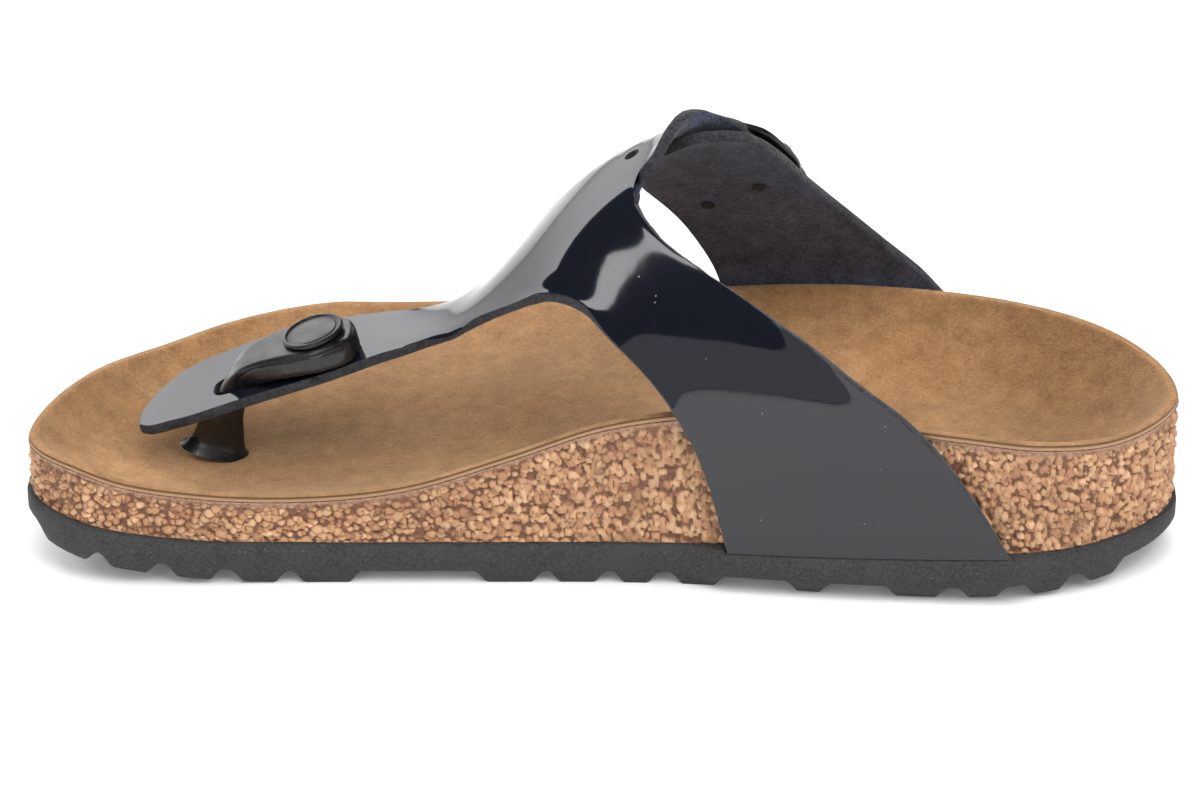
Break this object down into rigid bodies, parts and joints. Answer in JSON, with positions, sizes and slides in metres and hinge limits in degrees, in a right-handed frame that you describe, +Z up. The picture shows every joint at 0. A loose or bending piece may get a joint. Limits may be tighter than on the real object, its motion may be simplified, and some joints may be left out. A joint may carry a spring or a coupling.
{
  "type": "toe post sandal",
  "caption": "Right-foot toe post sandal: lugged foam sole, contoured cork footbed with suede lining, T-shaped patent upper over the instep, moulded toe post and side buckle.",
  "frame": {"origin": "centre of the bounding box's bottom, on the floor the sandal stands on", "axes": "+X towards the heel, -Y towards the inner side of the foot, +Z up"},
  "size_m": [0.2608, 0.0974, 0.0952],
  "materials": {
    "foam": "matte, fine grain",
    "cork": "sealed cork granules",
    "suede": "napped suede",
    "patent": "mirror gloss",
    "plastic": "satin",
    "metal": "satin black"
  },
  "bodies": {
    "root": {"outsole": "foam", "footbed_cork": "cork", "footbed_lining": "suede", "upper": "patent", "buckle_strap": "patent", "buckle_keeper": "patent", "buckle_frame": "metal", "buckle_prong": "metal", "rivet_front": "metal", "rivet_rear": "metal", "toe_post": "plastic", "toe_button": "plastic"}
  },
  "joints": []
}
